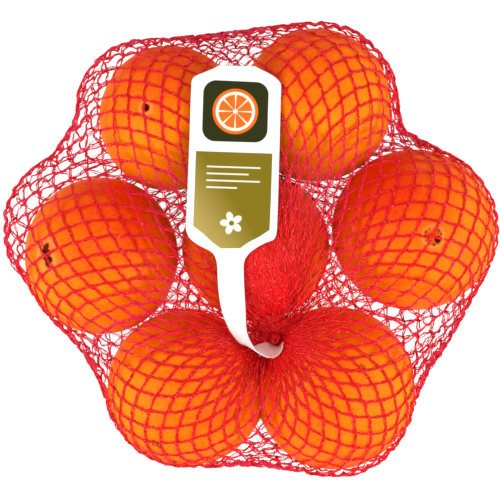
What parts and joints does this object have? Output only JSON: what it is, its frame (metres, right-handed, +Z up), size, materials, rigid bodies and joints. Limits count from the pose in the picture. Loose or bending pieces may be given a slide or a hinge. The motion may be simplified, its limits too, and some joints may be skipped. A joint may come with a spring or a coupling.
{
  "type": "net of oranges",
  "caption": "Red knitted net bag of oranges lying on its side, drawn together at a neck on top that a white film label loops round.",
  "frame": {"origin": "on the table, under the middle of the pack's outline", "axes": "+Z up from the table; seen from above with the neck in the front half, +X to the right and +Y to the back, the way the label's panel points"},
  "size_m": [0.2337, 0.2141, 0.0767],
  "materials": {
    "net": "satin",
    "label": "satin",
    "peel": "satin"
  },
  "bodies": {
    "root": {"net_bag": "net", "label": "label"}
  },
  "joints": []
}
